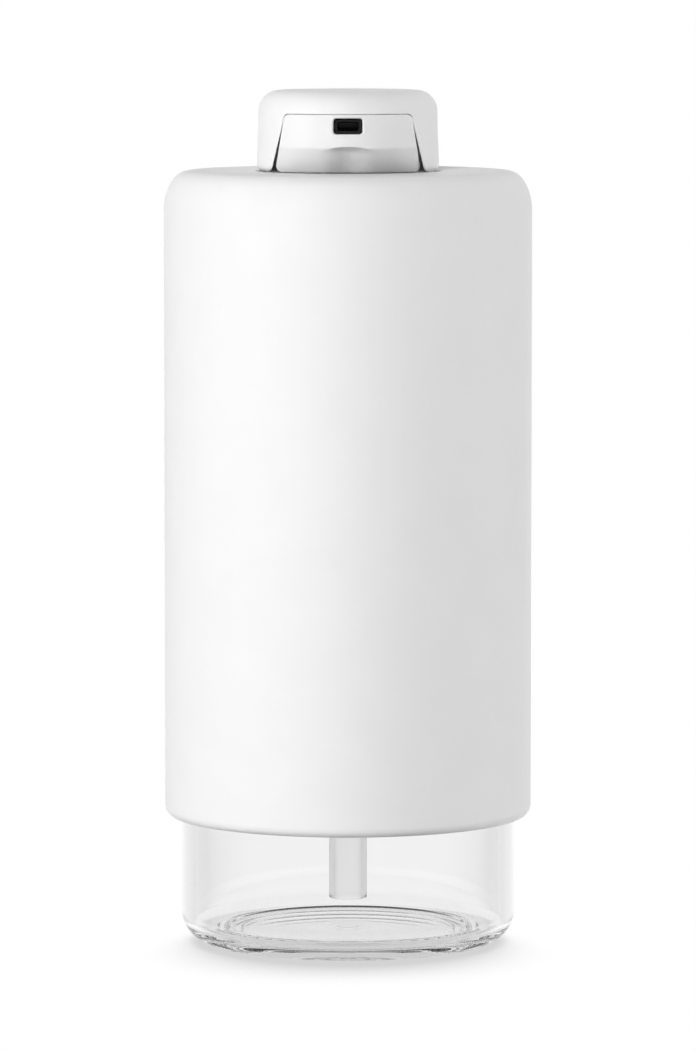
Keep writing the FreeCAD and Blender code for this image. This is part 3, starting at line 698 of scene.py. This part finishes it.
def tube_profile():
    """Plain tube with its cut ends broken by a small round."""
    radius, bore = tube_high[0], tube_high[0] - TUBE_WALL
    low, high = tube_low[2], tube_high[2]
    line = rounded([
        (bore, (low + high) / 2, 0), (bore, low, BORE_EDGE), (radius, low, TUBE_EDGE),
        (radius, high, TUBE_EDGE), (bore, high, BORE_EDGE), (bore, (low + high) / 2, 0)])
    return line[:-1]


tube_low, tube_high = span("dip_tube")
TUBE_WALL = 0.9
TUBE_EDGE = 0.25
BORE_EDGE = 0.2
piece("dip_tube_milky", turned(tube_profile(), around=128), "dip_tube", "pump", milky_pe)


def spring_grid():
    """Round wire carried along a helix: the ring of the wire stands across the helix's heading."""
    low, high = spring_low[2] + WIRE, spring_high[2] - WIRE
    turn = np.linspace(0, COILS, COILS * COIL_STEPS + 1)
    angle = 2 * np.pi * turn
    out = np.stack([np.cos(angle), np.sin(angle), np.zeros_like(angle)], -1)
    centre = COIL_RADIUS * out + np.stack([0 * turn, 0 * turn, low + (high - low) * turn / COILS], -1)
    heading = np.gradient(centre, axis=0)
    heading /= np.linalg.norm(heading, axis=1)[:, None]
    over = np.cross(heading, out)
    ring = np.linspace(0, 2 * np.pi, WIRE_SIDES, endpoint=False)[:, None, None]
    wire = centre + WIRE * (np.cos(ring) * out + np.sin(ring) * over)
    ends = np.broadcast_to(centre[[0, -1]], (WIRE_SIDES, 2, 3))
    return np.concatenate([ends[:, :1], wire, ends[:, 1:]], 1)


spring_low, spring_high = span("return_spring")
WIRE = 0.45
COIL_RADIUS = 4.6
COILS = 7
COIL_STEPS = 48
WIRE_SIDES = 14
spring = piece(
    "return_spring_wire", spring_grid(), "return_spring", "pump", stainless, poles=True)
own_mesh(spring)


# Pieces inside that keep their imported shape

kept_finishes = {
    "sleeve_liner": white_pp, "screw_cap": white_pp, "chaplet": white_pp, "actuator": white_pp,
    "pump_housing": natural_pp, "spring_seat": natural_pp, "piston": natural_pp, "stem": natural_pp,
    "stem_valve": natural_pp, "neck_gasket": silicone, "inlet_ball": stainless,
}
for node, finish in kept_finishes.items():
    mesh = bpy.data.objects[node].data
    mesh.materials.clear()
    mesh.materials.append(finish)


# Stage: floor, world, light and camera


def level_through_glass(tree, depth):
    """Level of the background seen through glass, by the share of a ray's heading that points to the back.

    It is 1 straight back. A few degrees to the side it falls quickly to a pale grey, and from there
    slowly to half at the sides and in front.
    """
    quick = ramp(tree, depth, (0.97, 0.988), (0.82, 1.0))
    slow = ramp(tree, depth, (0.2, 0.9), (0.61, 1.0))
    return maths(tree, "MULTIPLY", quick, slow)


def pale_floor():
    """White sweep: lit as a plain floor, but shown as white, with a painted shadow where the object covers
    it.

    Seen through glass it is as dim as the backdrop in the same heading, but white close to the object.
    """
    material = bpy.data.materials.new("pale_floor")
    material.use_nodes = True
    tree = material.node_tree
    tree.nodes.clear()
    # painted shadow: the occlusion is gathered towards the back and up, so that the shadow lies in front of
    # the object
    lean = add(tree, "ShaderNodeCombineXYZ", {"Y": 0.71, "Z": 0.71})
    cover = add(tree, "ShaderNodeAmbientOcclusion", {
        "Distance": 0.045, "Normal": lean.outputs[0]}, samples=24)
    # the occlusion, carried to a darker white, is the painted shadow on the floor's shown colour
    painted_shadow = ramp(tree, cover.outputs["AO"], (0.35, 0.65), (0.65, 1.0))
    place = add(tree, "ShaderNodeTexCoord").outputs["Object"]
    away = add(tree, "ShaderNodeVectorMath", {0: place}, operation="LENGTH")
    near = ramp(tree, away.outputs["Value"], (0.05, 0.07), (1.0, 0.0))
    through = add(tree, "ShaderNodeLightPath").outputs["Is Transmission Ray"]
    bright = maths(tree, "MAXIMUM", near, maths(tree, "SUBTRACT", 1.0, through))
    incoming = add(tree, "ShaderNodeNewGeometry").outputs["Incoming"]
    depth = add(tree, "ShaderNodeVectorMath", {0: incoming, 1: (0.0, -1.0, 0.0)}, operation="DOT_PRODUCT")
    behind = level_through_glass(tree, depth.outputs["Value"])
    white = maths(tree, "MULTIPLY", maths(tree, "MAXIMUM", bright, behind), painted_shadow)
    shown = add(tree, "ShaderNodeEmission", {"Color": white, "Strength": 1.0})
    lit = add(tree, "ShaderNodeBsdfDiffuse", {"Color": linear("#E2E2E2")})
    mixed = add(tree, "ShaderNodeMixShader", {0: seen_directly(tree), 1: lit.outputs[0], 2: shown.outputs[0]})
    add(tree, "ShaderNodeOutputMaterial", {"Surface": mixed.outputs[0]})
    return material


def seen_directly(tree):
    """1 for rays that carry a picture: from the camera, a reflection or through glass."""
    path = add(tree, "ShaderNodeLightPath").outputs
    mirrored = maths(tree, "MAXIMUM", path["Is Camera Ray"], path["Is Glossy Ray"])
    return maths(tree, "MAXIMUM", mirrored, path["Is Transmission Ray"])


def studio_world():
    """White backdrop behind the object, falling off to the sides and to a dim room in front.

    Seen through glass it is narrower and less dim at the sides, which gives the glass its grey edges.
    """
    world = bpy.data.worlds.new("studio")
    world.use_nodes = True
    tree = world.node_tree
    tree.nodes.clear()
    direction = add(tree, "ShaderNodeTexCoord").outputs["Generated"]
    depth = add(tree, "ShaderNodeVectorMath", {0: direction, 1: (0.0, 1.0, 0.0)}, operation="DOT_PRODUCT")
    path = add(tree, "ShaderNodeLightPath").outputs
    level = ramp(tree, depth.outputs["Value"], (0.0, 0.98), (ROOM, 1.0))
    behind = level_through_glass(tree, depth.outputs["Value"])
    room = add(tree, "ShaderNodeBackground", {"Color": level, "Strength": 1.0})
    glass = add(tree, "ShaderNodeBackground", {"Color": behind, "Strength": 1.0})
    white = add(tree, "ShaderNodeBackground", {"Color": (1.0, 1.0, 1.0, 1.0), "Strength": 1.0})
    hidden = add(tree, "ShaderNodeMixShader", {
        0: path["Is Transmission Ray"], 1: room.outputs[0], 2: glass.outputs[0]})
    mixed = add(tree, "ShaderNodeMixShader", {
        0: path["Is Camera Ray"], 1: hidden.outputs[0], 2: white.outputs[0]})
    add(tree, "ShaderNodeOutputWorld", {"Surface": mixed.outputs[0]})
    return world


def softbox(name, place, aim, size, watts):
    """Soft light at a place, turned towards its aim, in metres. Gloss and glass don't show it."""
    lamp = bpy.data.lights.new(name, "AREA")
    lamp.shape = "RECTANGLE"
    lamp.size, lamp.size_y = size
    lamp.energy = watts
    made = bpy.data.objects.new(name, lamp)
    made.location = place
    made.rotation_euler = (Vector(aim) - Vector(place)).to_track_quat("-Z", "Y").to_euler()
    made.visible_glossy = False
    made.visible_transmission = False
    scene.collection.objects.link(made)


ROOM = 0.02
SWEEP = 6
MIDDLE = (0, 0, 0.09)
LAMP = (1.0, 1.4)
TILT = 5.224
scene.world = studio_world()
floor_mesh = bpy.data.meshes.new("floor")
corners = [(-SWEEP, -SWEEP, 0), (SWEEP, -SWEEP, 0), (SWEEP, SWEEP, 0), (-SWEEP, SWEEP, 0)]
floor_mesh.from_pydata(corners, [], [(0, 1, 2, 3)])
floor_mesh.materials.append(pale_floor())
floor = bpy.data.objects.new("floor", floor_mesh)
scene.collection.objects.link(floor)
softbox("key", (-0.64, -2.37, 1.81), MIDDLE, LAMP, 57)
softbox("left", (-2.6, -1.5, 0.09), MIDDLE, LAMP, 67)
softbox("right", (2.95, 0.52, 0.09), MIDDLE, LAMP, 74)

camera_data = bpy.data.cameras.new("camera")
camera_data.lens = 217.75
camera_data.sensor_width = 36
camera_data.clip_start = 0.05
camera_data.clip_end = 50
camera = bpy.data.objects.new("camera", camera_data)
camera.location = (0, -1.225, 0.193)
camera.rotation_euler = Euler((math.radians(90 - TILT), 0, 0))
scene.collection.objects.link(camera)
scene.camera = camera

scene.view_settings.view_transform = "Standard"
# the thick base guides light through many reflections, which would turn black if they were cut short
scene.cycles.max_bounces = 32
scene.cycles.transmission_bounces = 32
scene.cycles.glossy_bounces = 32
